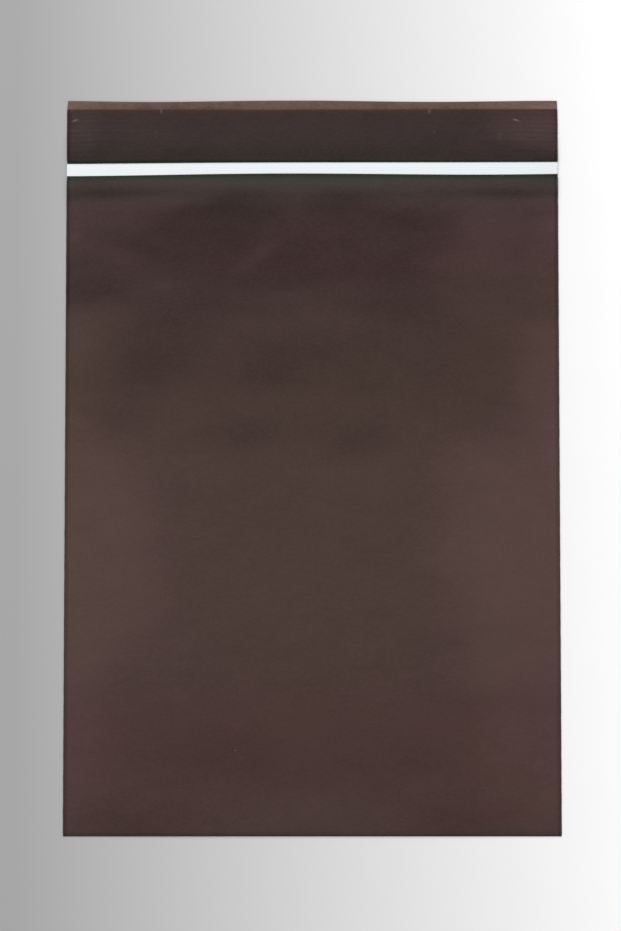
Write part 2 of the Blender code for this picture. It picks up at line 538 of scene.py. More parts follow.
class Wiring:
    """One material and the nodes that feed its shader."""

    def __init__(self, name: str) -> None:
        """Starts the material with a plain Principled shader.

        Args:
            name: Name of the material.
        """
        self.material = bpy.data.materials.new(name)
        self.material.use_nodes = True
        self.tree = self.material.node_tree
        self.shader = self.tree.nodes["Principled BSDF"]
        self.place = self.node("ShaderNodeTexCoord").outputs["Object"]

    def node(self, kind: str, **settings: object) -> bpy.types.Node:
        """Adds a node.

        Args:
            kind: The node's type.
            **settings: Its properties.

        Returns:
            The node.
        """
        made = self.tree.nodes.new(kind)
        for name, value in settings.items():
            setattr(made, name, value)
        return made

    def feed(self, socket: bpy.types.NodeSocket, value: object) -> None:
        """Links an output to a socket, or sets the socket to a number, a vector or a colour.

        Args:
            socket: The socket.
            value: The output or the value.
        """
        if isinstance(value, bpy.types.NodeSocket):
            self.tree.links.new(value, socket)
        elif isinstance(value, tuple) and socket.type == "RGBA":
            socket.default_value = (*value, 1.0)
        else:
            socket.default_value = value

    def maths(self, operation: str, *values: object) -> bpy.types.NodeSocket:
        """The result of one arithmetic step.

        Args:
            operation: Name of the step, as the Math node has it.
            *values: Its numbers or outputs.

        Returns:
            The output.
        """
        made = self.node("ShaderNodeMath", operation=operation)
        for socket, value in zip(made.inputs, values):
            self.feed(socket, value)
        return made.outputs[0]

    def blend(
        self, share: object, first: object, second: object, way: str = "MIX"
    ) -> bpy.types.NodeSocket:
        """A colour between two others, or a little past them where the share leaves 0 to 1.

        Args:
            share: 0 for the first colour, 1 for the second.
            first: First colour, or the output that gives it.
            second: Second colour, or the output that gives it.
            way: How the second goes over the first, as the Mix node has it.

        Returns:
            The output.
        """
        made = self.node("ShaderNodeMix", data_type="RGBA", blend_type=way, clamp_factor=False)
        self.feed(made.inputs[0], share)
        self.feed(made.inputs[6], first)
        self.feed(made.inputs[7], second)
        return made.outputs[2]

    def mark(self, name: str) -> bpy.types.NodeSocket:
        """The value that the mesh carries under that name."""
        return self.node("ShaderNodeAttribute", attribute_name=name).outputs["Fac"]

    def mapped(self, scale: Triple, **settings: object) -> bpy.types.Node:
        """Adds a Mapping node on the piece's own coordinates.

        Args:
            scale: Its scale along each axis.
            **settings: Its properties.

        Returns:
            The node.
        """
        mapping = self.node("ShaderNodeMapping", **settings)
        self.feed(mapping.inputs["Vector"], self.place)
        mapping.inputs["Scale"].default_value = scale
        return mapping

    def noise(self, grain: float, stretch: Triple = (1, 1, 1), detail: float = 2) -> bpy.types.NodeSocket:
        """Soft noise from 0 to 1 on the piece's own coordinates.

        Args:
            grain: Size of its grain, in metres.
            stretch: How much longer the grain is along each axis.
            detail: How many finer layers it has.

        Returns:
            The output.
        """
        mapping = self.mapped(tuple(1 / (grain * s) for s in stretch))
        made = self.node("ShaderNodeTexNoise")
        self.feed(made.inputs["Vector"], mapping.outputs[0])
        made.inputs["Scale"].default_value = 1.0
        made.inputs["Detail"].default_value = detail
        return made.outputs["Fac"]

    def specks(self, spacing: float, radius: float, share: float) -> bpy.types.NodeSocket:
        """1 inside sparse round specks and 0 elsewhere.

        Args:
            spacing: Distance between the cells that may hold one.
            radius: Radius of the largest speck; the smallest has half of it.
            share: Share of the cells that hold one.

        Returns:
            The output.
        """
        mapping = self.mapped((1 / spacing, 1 / spacing, 0))
        cells = self.node("ShaderNodeTexVoronoi")
        self.feed(cells.inputs["Vector"], mapping.outputs[0])
        cells.inputs["Scale"].default_value = 1.0
        split = self.node("ShaderNodeSeparateColor")
        self.feed(split.inputs[0], cells.outputs["Color"])
        chosen = self.maths("LESS_THAN", split.outputs[0], share)
        half = 0.5 * radius / spacing
        size = self.maths("MULTIPLY_ADD", split.outputs[1], half, half)
        inside = self.maths("LESS_THAN", cells.outputs["Distance"], size)
        return self.maths("MULTIPLY", chosen, inside)

    def oval(self, zone: Zone) -> bpy.types.NodeSocket:
        """A small soft oval on the piece, falling smoothly from its strength to 0 at its rim.

        Args:
            zone: The oval, in millimetres.

        Returns:
            The output.
        """
        any_height = 1000
        size = (zone.reach_x * MM, zone.reach_y * MM, any_height)
        mapping = self.mapped(size, vector_type="TEXTURE")
        mapping.inputs["Location"].default_value = (zone.x * MM, zone.y * MM, 0)
        mapping.inputs["Rotation"].default_value = (0, 0, math.radians(zone.turn))
        reach = self.node("ShaderNodeVectorMath", operation="LENGTH")
        self.feed(reach.inputs[0], mapping.outputs[0])
        fall = self.node("ShaderNodeMapRange", interpolation_type="SMOOTHSTEP")
        self.feed(fall.inputs["Value"], reach.outputs["Value"])
        fall.inputs["From Min"].default_value = 1.0
        fall.inputs["From Max"].default_value = 0.0
        fall.inputs["To Max"].default_value = zone.strength
        return fall.outputs[0]

    def relief(self, height: object, distance: float, under: object = None) -> bpy.types.NodeSocket:
        """A bumped normal.

        Args:
            height: Output from 0 to 1.
            distance: Height of the relief, in metres.
            under: The coarser bump that this one lies on, if any.

        Returns:
            The output.
        """
        made = self.node("ShaderNodeBump")
        made.inputs["Distance"].default_value = distance
        self.feed(made.inputs["Height"], height)
        if under is not None:
            self.feed(made.inputs["Normal"], under)
        return made.outputs[0]


@dataclass(frozen=True)
class FilmFinish:
    """Satin polyethylene film.

    Its colour runs from deep to light by the piece's tone mark, which holds painted reflections,
    highlights and shade, from the cool pair to the warm pair by its warmth mark, and from an olive
    to a plum tint by its plum mark. A mottle in three sizes, faint lines along the zipper's
    direction from the film blowing, a few pale dust specks and painted highlights on the given
    dents lie over it.
    """

    name: str
    deep_cool: Colour
    light_cool: Colour
    deep_warm: Colour
    light_warm: Colour
    dust_and_highlight: Colour
    roughness: float
    specular: float
    mottle: float = 0.20
    olive: Colour = (1.0, 1.015, 0.90)
    plum: Colour = (1.0, 0.97, 1.20)
    mottle_layers: tuple[Triple, ...] = ((0.0120, 1.6, 2), (0.0042, 1.4, 4), (0.0010, 1.5, 1))
    fine_weight: float = 2.0
    dust_share: float = 0.12
    dust_spacing: float = 0.016
    dust_radius: float = 0.00036
    line_grain: float = 0.0009
    line_length: float = 40
    line_depth: float = 0.000006
    dimple_grain: float = 0.0016
    dimple_depth: float = 0.000012
    roughness_spread: float = 0.10
    dents_with_highlights: tuple[Zone, ...] = ()

    def material(self) -> bpy.types.Material:
        """Wires the finish. A mottle layer is its grain, its stretch across the bag and its detail.

        Returns:
            The material.
        """
        w = Wiring(self.name)
        cloud, patch, grain = (
            w.maths("SUBTRACT", w.noise(size, (stretch, 1, 1), detail), 0.5)
            for size, stretch, detail in self.mottle_layers
        )
        layers = w.maths("MULTIPLY_ADD", grain, self.fine_weight, w.maths("ADD", cloud, patch))
        tone = w.maths("MULTIPLY_ADD", layers, self.mottle, w.mark("tone"))
        cool = w.blend(tone, self.deep_cool, self.light_cool)
        warm = w.blend(tone, self.deep_warm, self.light_warm)
        brown = w.blend(w.mark("warmth"), cool, warm)
        tint = w.blend(w.mark("plum"), self.olive, self.plum)
        tinted = w.blend(1.0, brown, tint, "MULTIPLY")
        # Pale specks of dust, and painted highlights on the given dents.
        pale = w.specks(self.dust_spacing, self.dust_radius, self.dust_share)
        for dent_highlight in self.dents_with_highlights:
            pale = w.maths("MAXIMUM", pale, w.oval(dent_highlight))
        w.feed(w.shader.inputs["Base Color"], w.blend(pale, tinted, self.dust_and_highlight))
        lines = w.noise(self.line_grain, (self.line_length, 1, 1), 2)
        smoothest = self.roughness - self.roughness_spread / 2
        rough = w.maths("MULTIPLY_ADD", lines, self.roughness_spread, smoothest)
        w.feed(w.shader.inputs["Roughness"], rough)
        dimples = w.noise(self.dimple_grain, detail=3)
        bumps = w.relief(dimples, self.dimple_depth, w.relief(lines, self.line_depth))
        w.feed(w.shader.inputs["Normal"], bumps)
        w.shader.inputs["Specular IOR Level"].default_value = self.specular
        w.shader.inputs["IOR"].default_value = 1.5
        return w.material


@dataclass(frozen=True)
class WeldFinish:
    """Film melted and set again in the side weld: darker, smoother and finely lumpy."""

    name: str
    dark: Colour
    pale: Colour
    roughness: float
    specular: float = 0.35
    lump_grain: float = 0.0021
    lump_depth: float = 0.00005
    fine_grain: float = 0.0008
    roughness_spread: float = 0.2

    def material(self) -> bpy.types.Material:
        """Wires the finish.

        Returns:
            The material.
        """
        w = Wiring(self.name)
        lumps = w.noise(self.lump_grain, (1, 1.8, 1), 3)
        w.feed(w.shader.inputs["Base Color"], w.blend(lumps, self.dark, self.pale))
        smoothest = self.roughness - self.roughness_spread / 2
        rough = w.maths("MULTIPLY_ADD", w.noise(self.fine_grain), self.roughness_spread, smoothest)
        w.feed(w.shader.inputs["Roughness"], rough)
        w.feed(w.shader.inputs["Normal"], w.relief(lumps, self.lump_depth))
        w.shader.inputs["Specular IOR Level"].default_value = self.specular
        return w.material


@dataclass(frozen=True)
class TrackFinish:
    """Extruded white plastic with fine lines along the track."""

    name: str
    white: Colour
    shade: Colour
    roughness: float
    specular: float = 0.4
    line_grain: float = 0.00045
    line_length: float = 400
    line_depth: float = 0.00001
    line_share: float = 0.5
    cloud_grain: float = 0.012
    cloud_share: float = 0.4
    roughness_spread: float = 0.12

    def material(self) -> bpy.types.Material:
        """Wires the finish.

        Returns:
            The material.
        """
        w = Wiring(self.name)
        lines = w.noise(self.line_grain, (self.line_length, 1, 1), 2)
        clouds = w.maths("MULTIPLY", w.noise(self.cloud_grain, (3, 1, 1), 2), self.cloud_share)
        share = w.maths("MULTIPLY_ADD", lines, self.line_share, clouds)
        w.feed(w.shader.inputs["Base Color"], w.blend(share, self.white, self.shade))
        smoothest = self.roughness - self.roughness_spread / 2
        rough = w.maths("MULTIPLY_ADD", lines, self.roughness_spread, smoothest)
        w.feed(w.shader.inputs["Roughness"], rough)
        w.feed(w.shader.inputs["Normal"], w.relief(lines, self.line_depth))
        w.shader.inputs["Specular IOR Level"].default_value = self.specular
        return w.material


@dataclass(frozen=True)
class FloorFinish:
    """Pale matt floor whose colour is painted light: light grey on the left to white on the right."""

    name: str = "pale_floor"
    left: Colour = (0.385, 0.385, 0.385)
    right: Colour = (0.97, 0.97, 0.97)
    start_x: float = -0.122
    end_x: float = 0.1225

    def material(self) -> bpy.types.Material:
        """Wires the finish.

        Returns:
            The material.
        """
        w = Wiring(self.name)
        split = w.node("ShaderNodeSeparateXYZ")
        w.feed(split.inputs[0], w.place)
        span = w.node("ShaderNodeMapRange")
        w.feed(span.inputs["Value"], split.outputs[0])
        span.inputs["From Min"].default_value = self.start_x
        span.inputs["From Max"].default_value = self.end_x
        w.feed(w.shader.inputs["Base Color"], w.blend(span.outputs[0], self.left, self.right))
        w.shader.inputs["Roughness"].default_value = 0.9
        w.shader.inputs["Specular IOR Level"].default_value = 0.1
        return w.material


OUTER_FILM = FilmFinish(
    name="brown_film",
    deep_cool=(0.0194, 0.0175, 0.0141),
    light_cool=(0.0593, 0.0536, 0.0432),
    deep_warm=(0.0318, 0.0098, 0.0094),
    light_warm=(0.0860, 0.0368, 0.0332),
    dust_and_highlight=(0.13, 0.107, 0.10),
    roughness=0.46,
    specular=0.14,
)
LIP_FILM = replace(
    OUTER_FILM,
    name="brown_lip_film",
    # Pale ovals painted as highlights on small dents and pinches of the front lip; the lip's relief is
    # dented at the same places.
    dents_with_highlights=(
        Zone(-98.1, 168.1, 2.0, 0.60, 1.0, turn=17), Zone(84.3, 168.1, 2.0, 0.65, 1.1, turn=-18),
        Zone(-62.6, 172.6, 0.75, 2.2, 0.52), Zone(48.4, 172.6, 0.75, 2.2, 0.52),
        Zone(-64.7, 161.7, 0.9, 1.0, 0.16), Zone(-64.7, 159.1, 0.9, 1.0, 0.13),
        Zone(50.4, 161.7, 0.9, 1.1, 0.20), Zone(77.7, 160.2, 1.2, 3.8, 0.13, turn=-8),
        Zone(-92.5, 160.6, 1.4, 0.9, 0.12),
    ),
)
INNER_FILM = FilmFinish(
    name="light_brown_inner_face",
    deep_cool=(0.083, 0.053, 0.043),
    light_cool=(0.131, 0.085, 0.069),
    deep_warm=(0.091, 0.050, 0.040),
    light_warm=(0.150, 0.083, 0.065),
    dust_and_highlight=(0.30, 0.25, 0.22),
    roughness=0.5,
    specular=0.25,
    mottle=0.7,
)
WELDED_FILM = WeldFinish("melted_brown_film", (0.012, 0.008, 0.008), (0.030, 0.018, 0.016), 0.42)
# Painted shade just inside a welded side, then a thin painted highlight along the weld's ridge.
WELD_SHADE_AND_HIGHLIGHT = (Line(-0.38, 0.0008, 0.00055), Line(-0.09, 0.0016, 0.0008), Line(0.10, 0.0021, 0.0003))
FRONT_WHITE = TrackFinish("white_track_face", (0.84, 0.88, 0.89), (0.76, 0.81, 0.83), 0.36)
REAR_WHITE = TrackFinish("white_track_hidden", (0.80, 0.82, 0.83), (0.72, 0.75, 0.77), 0.42)


# Painted shade along the crease that the zipper draws in the film below it, painted highlights
# beside it, and a painted highlight streak along one slanting fold.
CREASE_SHADE_AND_HIGHLIGHTS = Patches(
    base=0.0,
    zones=(
        Zone(0, 139.5, 400, 3.0, -0.10), Zone(0, 135.5, 400, 2.4, 0.04), Zone(0, 131.2, 400, 3.4, -0.35),
        Zone(-80, 131.2, 24, 2.6, -0.16), Zone(78, 131.2, 22, 2.6, -0.16),
        Zone(-8, 130, 24, 4, 0.12, edge=1.5), Zone(95, 129, 9, 3, 0.14),
        Zone(-21.5, 101, 8.5, 3.0, 0.22, turn=42),
    ),
)

# Painted reflections and painted shade of the panel, in dark and light patches over the lying film.
FILM_SHEEN_AND_SHADE = Patches(
    base=0.50,
    wander=1.2,
    zones=(
        Zone(-8, 109, 66, 22, -0.46, edge=3), Zone(0, 125.5, 62, 5, -0.12, edge=2),
        Zone(-43, 123, 16, 5, -0.14, edge=1.5), Zone(46, 121, 18, 7, -0.27, edge=1.5),
        Zone(-52, 111, 26, 13, -0.12, edge=2), Zone(-8, 124, 6, 9, 0.09),
        Zone(-68, 101, 27, 7, -0.20, turn=-27, edge=1.5), Zone(-84, 109, 16, 7, -0.10, edge=1.5),
        Zone(42, 92, 30, 5, -0.13), Zone(-46, 92, 14, 4, -0.08), Zone(15, 88, 95, 5, -0.10, edge=2),
        Zone(44, 88, 10, 6, -0.07), Zone(43, 105, 12, 12, -0.09), Zone(-61, 120, 8, 7, -0.11),
        Zone(-27, 118, 13, 6, -0.15), Zone(-44, 70, 11, 6, -0.12), Zone(-8, 80, 62, 9, -0.22, edge=2),
        Zone(-91, 79, 18, 6, -0.17), Zone(-91, 42, 18, 9, -0.12), Zone(99, 74, 15, 9, -0.22, edge=1.5),
        Zone(96, 121.5, 9, 4, -0.16), Zone(86, 112, 12, 14, -0.10, edge=1.5), Zone(-54, 126, 6, 4, -0.15),
        Zone(55, 113, 9, 6, -0.12), Zone(-69, 92, 8, 6, -0.12), Zone(-74, 44, 20, 16, -0.09, edge=1.5),
        Zone(-20, 40.5, 18, 8, -0.19), Zone(-52, 78, 26, 14, -0.20), Zone(42, 74, 16, 12, -0.18),
        Zone(-96, 90, 24, 15, -0.36, edge=2), Zone(-62, 56, 20, 20, -0.22, edge=1.5),
        Zone(-8, 54, 24, 13, -0.20), Zone(42, 56, 34, 26, -0.12, edge=1.5),
        Zone(0, 44, 90, 34, -0.08, edge=2), Zone(-26, 13, 20, 9, -0.28), Zone(18, 12, 16, 10, -0.26),
        Zone(28, 36, 9, 6, -0.12), Zone(-79, 24, 11, 7, -0.15), Zone(-62, -42, 8, 8, -0.11),
        Zone(74, -128, 10, 45, 0.09, edge=2), Zone(0, -45, 200, 70, 0.10, edge=2),
        Zone(-106, -46, 46, 62, 0.36, edge=3), Zone(107, -44, 54, 62, 0.46, edge=3),
        Zone(108, 44, 25, 42, 0.42, edge=2), Zone(-106, 45, 22, 32, 0.18, edge=2),
        Zone(104, 120, 16, 18, 0.22), Zone(-87, 2, 11, 7, 0.08), Zone(64, 1, 14, 12, 0.18),
        Zone(72, -99, 19, 12, 0.17, edge=1.5), Zone(-95, -94, 12, 6, 0.11), Zone(92, -168, 8, 8, 0.09),
        Zone(-84, 118, 24, 10, -0.08), Zone(-108, -135, 27, 36, 0.22, edge=2),
        Zone(108, -135, 36, 38, 0.28, edge=2), Zone(-34, -142, 24, 12, -0.13),
        Zone(32, -143, 22, 12, -0.09), Zone(-74, -172, 22, 10, -0.18), Zone(62, -172, 20, 10, -0.14),
        Zone(-5, -168, 26, 8, 0.12),
    ),
)

# From cool beside the zipper to warm towards the bottom.
FILM_WARMTH = Patches(
    base=0.70,
    zones=(
        Zone(0, 139.5, 400, 3.5, -0.50), Zone(0, 134, 400, 8, -0.30), Zone(0, 131.3, 400, 3.5, 0.08),
        Zone(-5, 106, 85, 20, 0.16, edge=2), Zone(0, -40, 60, 60, -0.04),
        Zone(0, -135, 200, 26, 0.12, edge=2), Zone(0, -170, 22, 10, -0.05), Zone(68, -168, 34, 5, 0.16),
        Zone(-72, -169, 32, 5, 0.12),
    ),
)

# Plum at the sides and below the zipper, olive down the middle.
FILM_PLUM = Patches(
    base=0.25,
    wander=1.2,
    zones=(
        Zone(0, 138, 400, 5, 0.15), Zone(0, 131.3, 400, 3.5, -0.06), Zone(-92, 120, 26, 14, 0.40, edge=2),
        Zone(92, 118, 32, 18, 0.42, edge=2), Zone(15, 106, 50, 11, 0.25, edge=2),
        Zone(-30, 44, 90, 44, -0.28, edge=2), Zone(48, 50, 46, 34, -0.20, edge=2),
        Zone(0, -40, 52, 80, -0.26, edge=2), Zone(-102, -128, 20, 36, 0.32, edge=2),
        Zone(96, -120, 22, 30, 0.26, edge=2), Zone(100, -20, 22, 60, 0.06, edge=2),
    ),
)

# Lighter ends of the rear lip, and painted shade in its small dents.
REAR_LIP_SHADE = Patches(
    base=0.55,
    wander=0.6,
    zones=(
        Zone(-100, 176, 12, 9, 0.42, edge=2), Zone(104, 174.4, 14, 2.4, 0.80, edge=1.5),
        Zone(104, 177.5, 14, 2.5, 0.20), Zone(80, 176, 10, 9, 0.30), Zone(-69, 174, 3.4, 2.2, -0.45),
        Zone(-56, 174.5, 3.0, 1.8, -0.40), Zone(-43.5, 174, 3.6, 2.0, -0.42),
        Zone(-30, 175, 3.0, 1.6, -0.15), Zone(28, 174, 3.4, 2.0, -0.42), Zone(43, 174, 4.0, 2.0, -0.42),
        Zone(56, 174.5, 3.4, 1.8, -0.36), Zone(-13, 175, 9, 4, 0.18), Zone(3, 176, 5, 3, 0.22),
    ),
)


@dataclass
class FoldedFilm:
    """The one sheet of film that makes front panel, bottom fold, rear panel and rear lip."""

    shape: BagShape
    front_rows: tuple[tuple[float, int], ...] = ((3.3, 9), (16.5, 18), (262.0, 150), (319.0, 34))
    fold_rows: int = 10
    rear_rows: tuple[int, int, int] = (26, 30, 6)
    track_margin: float = 0.0020
    imprint_inset: float = 0.0004
    imprint_reach: float = 0.00045
    imprint_depth: float = 0.00004
    lip_rows: int = 20
    edge_columns: int = 14
    edge_band: float = 0.004
    middle_columns: int = 122
    side_inset: float = 0.00012
    edge_wander: EdgeWander = EdgeWander(-0.36, ((0.58, -0.49), (-0.41, 0.62)))
    wander_run: float = 0.012
    mouth_wander: EdgeWander = EdgeWander(-1.28, ((-0.28, 1.73), (0.38, -1.15), (-0.31, 0.71)))
    lip_lift: float = 0.00030
    lip_level: float = 0.00045
    lip_curl: EdgeWander = EdgeWander(0.10, ((0.05, 0.04), (-0.10, 0.04), (0.06, 0.05)))
    lip_inset: tuple[float, float] = (0.00030, 0.00016)
    pucker_height: float = 0.000045
    pucker_length: float = 0.0135
    pucker_reach: float = 0.008
    weld_ridge: tuple[Line, ...] = (Line(-0.00003, 0.0012, 0.0004), Line(0.00005, 0.0020, 0.0005))
    strip_shadow: Tint = Tint(-0.50, -0.45, -0.70)
    strip_shadow_reach: float = 0.0019
    # Painted shade along the bottom fold.
    low_rim_shade: Tint = Tint(-0.36, -0.25)
    low_rim_shade_reach: float = 0.0014
    # Painted shade in the two grooves that the rear track presses into the rear panel.
    imprint_shade: Tint = Tint(-0.12)
    lip_start: float = 0.002
    lip_start_run: float = 0.001
    lip_warmth: float = 0.62
    lip_plum: float = 0.38
    lip_ends: Tint = Tint(warmth=0.30)
    lip_right_end: Tint = Tint(plum=0.20)
    lip_ends_x: float = 0.080
    lip_ends_run: float = 0.020
    # Painted shadow along the rear lip's lower edge, where the front lip's edge lies on it.
    lip_foot_shadow: Tint = Tint(-0.45, 0.70, -0.40)
    lip_foot_shadow_reach: float = 0.0013
    lip_foot_shadow_fade: float = 0.7
    swells: tuple[Swell, ...] = (
        Swell(118, 0.16, 28, 0.4),
        Swell(83, 0.10, 112, 1.9),
        Swell(61, 0.06, 64, 3.3),
        Swell(47, 0.035, 151, 5.0),
        Swell(33, 0.015, 12, 2.2),
    )
    folds: tuple[Zone, ...] = (
        Zone(0, 133.5, 400, 3.2, -0.08), Zone(-82, 132.0, 30, 3.0, -0.14),
        Zone(80, 131.5, 27, 3.0, -0.14), Zone(-21.5, 101.0, 10, 4.0, 0.04, 42),
        Zone(-78, 123.0, 30, 5.0, 0.08, 8), Zone(74, 121.0, 28, 6.0, 0.08, -8),
    )
    # Painted shade and highlights along each crease.
    crease_shading: Patches = CREASE_SHADE_AND_HIGHLIGHTS
    # Painted reflections and painted shade in patches over the panel.
    tone: Patches = FILM_SHEEN_AND_SHADE
    warmth: Patches = FILM_WARMTH
    plum: Patches = FILM_PLUM
    lip_shade: Patches = REAR_LIP_SHADE

    def front_places(self) -> Array:
        """Places of the rows down the front panel, in four stretches of their own spacing."""
        start = self.shape.strip_low_y
        ends = [start - reach * MM for reach, _ in self.front_rows[:-1]] + [self.shape.fold_y]
        starts = [start, *ends[:-1]]
        rows = [
            np.linspace(a, b, count, endpoint=False)
            for a, b, (_, count) in zip(starts, ends, self.front_rows)
        ]
        return np.concatenate(rows)

    def rear_places(self) -> Array:
        """Places of the rows up the rear panel, close together under the zipper and in the lip."""
        shape = self.shape
        ends = [
            shape.fold_y,
            shape.flange_low_y - self.track_margin,
            shape.flange_high_y + self.track_margin,
            shape.lip_top_y - 0.004,
        ]
        rows = [
            np.linspace(a, b, count, endpoint=False)
            for a, b, count in zip(ends, ends[1:], self.rear_rows)
        ]
        return np.concatenate([*rows, np.linspace(ends[-1], shape.mouth_y, self.lip_rows)])[1:]

    def imprint(self, x: Array, y: Array) -> Array:
        """Share of full depth of the two faint grooves that the rear track leaves on the rear panel.

        Each is a bell curve along the bag just inside an edge of the track, and fades out at the
        welds.

        Args:
            x: Places across the bag.
            y: Places along the bag.

        Returns:
            The share at each place, from 0 to 1.
        """
        shape = self.shape
        lines = [shape.flange_low_y + self.imprint_inset, shape.flange_high_y - self.imprint_inset]
        bells = [bell(y - line, self.imprint_reach) for line in lines]
        return sum(bells) * ease(shape.side_distance(x) / 0.012)

    def columns(self) -> Array:
        """Places of the columns across the bag, close together beside the welds."""
        outer = self.shape.half_width - self.side_inset
        inner = outer - self.edge_band
        left = np.linspace(-outer, -inner, self.edge_columns, endpoint=False)
        middle = np.linspace(-inner, inner, self.middle_columns)
        return np.concatenate([left, middle, -left[::-1]])

    def relief(self, x: Array, y: Array) -> Array:
        """Height that the lying front film adds to its even shape.

        Broad swells fade out at the zipper, the fold and the welds. Soft folds lie below the
        zipper. Beside each weld small puckers, a drifting sine along the weld, die away as
        exp(-d / pucker_reach), and a groove and a ridge follow the weld's inner edge.

        Args:
            x: Places across the bag.
            y: Places along the bag.

        Returns:
            The added height at each place.
        """
        shape = self.shape
        d = shape.side_distance(x)
        inside = ease((d - shape.weld_width) / 0.035)
        below_zipper = ease((shape.slot_end_y - y) / 0.030)
        above_fold = ease((y - shape.fold_y) / 0.045)
        swell = np.sum([wave.at(x, y) for wave in self.swells], axis=0)
        fold = zones_at(self.folds, x, y) * MM * ease((shape.slot_end_y - y) / 0.004)
        drift = 1.8 * np.sin(2 * np.pi * y / 0.083 + x / 0.06)
        beat = np.sin(2 * np.pi * y / self.pucker_length + drift)
        fading = np.exp(-d / self.pucker_reach) * ease((d - 0.001) / 0.004)
        in_body = ease((shape.strip_low_y - y) / 0.004)
        ridge = lines_at(self.weld_ridge, d)
        level = ease((shape.slot_end_y - y) / 0.010)
        return (
            swell * inside * below_zipper * above_fold
            + fold * ease(d / 0.006)
            + self.pucker_height * beat * fading * level * ease((y - shape.fold_y) / 0.010)
            + ridge * in_body * ease((y - shape.fold_y) / 0.004)
        )

    def points(self) -> Array:
        """Points of the outer face, row by row: down the front, round the fold, up the rear.

        Returns:
            An array of rows x columns x 3.
        """
        shape = self.shape
        x = self.columns()[None, :]
        front_y = self.front_places()[:, None]
        fade = 1 - ease((shape.strip_low_y - front_y) / self.wander_run)
        wander = self.edge_wander.at(x, shape.width) + shape.end_spread(x, front_y)
        front_y = front_y + fade * wander
        front_x = np.broadcast_to(x, front_y.shape)
        front_z = shape.front_height(front_x, front_y) + self.relief(front_x, front_y)
        front = np.stack([front_x, front_y, front_z], axis=-1)

        turns = np.linspace(np.pi / 2, 3 * np.pi / 2, self.fold_rows)[:, None]
        fold_y = shape.fold_y + shape.fold_outer * np.cos(turns) + 0 * x
        fold_x = np.broadcast_to(x, fold_y.shape)
        fold_z = shape.pressed(fold_x, fold_y, shape.fold_outer * (1 + np.sin(turns)))
        fold = np.stack([fold_x, fold_y, fold_z], axis=-1)

        rear_y = self.rear_places()[:, None]
        lip = shape.mouth_y - shape.lip_top_y
        share = ease((rear_y - shape.lip_top_y) / lip)
        lift = (rear_y - shape.lip_top_y + self.lip_start) / (lip + self.lip_start)
        lift = lift.clip(0, 1)
        rear_z = (self.lip_lift + self.lip_curl.at(x, shape.width)) * lift**1.6
        rear_z = rear_z + self.imprint_depth * self.imprint(x, rear_y)
        tuck = -shape.spread_share * (rear_z + shape.film - self.lip_level)
        rear_y = rear_y + share * (np.minimum(self.mouth_wander.at(x, shape.width), 0) + tuck)
        inset = np.where(x < 0, self.lip_inset[0], self.lip_inset[1]) * share
        rear_x = np.broadcast_to(x, rear_y.shape) * (1 - inset / shape.half_width)
        rear = np.stack([rear_x, rear_y, rear_z], axis=-1)
        return np.concatenate([front, fold, rear])

    def marks(self, points: Array) -> dict[str, Array]:
        """Tone, warmth and plum tint of the sheet.

        On the panels lie painted reflections and shade in patches, painted shade and highlights along
        each crease, painted shade and a painted highlight along each weld, the painted shadow under the
        white strip, and painted shade along the lower rim and in the two zipper grooves. The rear lip has
        marks of its own: painted shade in small dents, warmer ends, and a painted shadow along its lower
        edge, where the front lip's edge lies on it.

        Args:
            points: The points of the outer face.

        Returns:
            The marks by name.
        """
        shape = self.shape
        x = points[..., 0]
        y = points[..., 1]
        # Painted reflections and shade in patches, with painted shade and highlights along each crease.
        tone = self.tone.at(x, y) + self.crease_shading.at(x, y)
        marks = Marks(tone, self.warmth.at(x, y), self.plum.at(x, y))
        # Painted shade just inside each weld, and a painted highlight along its ridge.
        marks.add(lines_at(WELD_SHADE_AND_HIGHLIGHT, shape.side_distance(x)), Tint(tone=1))
        on_front = (np.arange(len(points)) < len(self.front_places()))[:, None]
        marks.add(on_front * bell(y[:1] - y, self.strip_shadow_reach), self.strip_shadow)
        # Painted shade along the bottom fold.
        marks.add(bell(y - shape.bottom_y, self.low_rim_shade_reach), self.low_rim_shade)
        # Painted shade in the two grooves that the rear track leaves.
        marks.add(~on_front * self.imprint(x, y), self.imprint_shade)
        ends = ease((abs(x) - self.lip_ends_x) / self.lip_ends_run)
        # Painted shadow along the rear lip's lower edge, fainter at its ends.
        above = np.clip(y - shape.lip_top_y, 0, None)
        foot_shade = (1 - self.lip_foot_shadow_fade * ends) * np.exp(-above / self.lip_foot_shadow_reach)
        lip = Marks(self.lip_shade.at(x, y), self.lip_warmth + 0 * x, self.lip_plum + 0 * x)
        lip.add(ends, self.lip_ends)
        lip.add(ends * (x > 0), self.lip_right_end)
        lip.add(foot_shade, self.lip_foot_shadow)
        marks.go_over(ease((y - shape.lip_top_y + self.lip_start) / self.lip_start_run), lip)
        return marks.named(darkest=-0.30, lightest=1.6)

    def build(self) -> bpy.types.Object:
        """Builds the sheet with its marks, its thickness and its finish.

        Returns:
            The piece.
        """
        points = self.points()
        marks = self.marks(points)
        piece = Surface("bag_film", points, marks=marks).build()
        thicken(piece, self.shape.film)
        piece.data.materials.append(OUTER_FILM.material())
        piece.data.materials.append(INNER_FILM.material())
        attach(piece, "root")
        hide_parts("bag_body")
        return piece


# The front lip is lighter at its ends, most on the right.
FRONT_LIP_SHADE = Patches(
    base=-0.11,
    zones=(
        Zone(-104, 165, 15, 11, 0.22, edge=2), Zone(106, 163, 22, 11, 0.70, edge=1.5),
        Zone(78, 166, 10, 8, 0.15), Zone(-40, 163, 38, 5, -0.07), Zone(40, 161, 30, 6, -0.05),
    ),
)

# Its ends are plum.
FRONT_LIP_PLUM = Patches(
    base=0.10,
    zones=(
        Zone(-106, 160, 24, 12, 0.50, edge=2), Zone(104, 160, 38, 16, 0.65, edge=2),
    ),
)


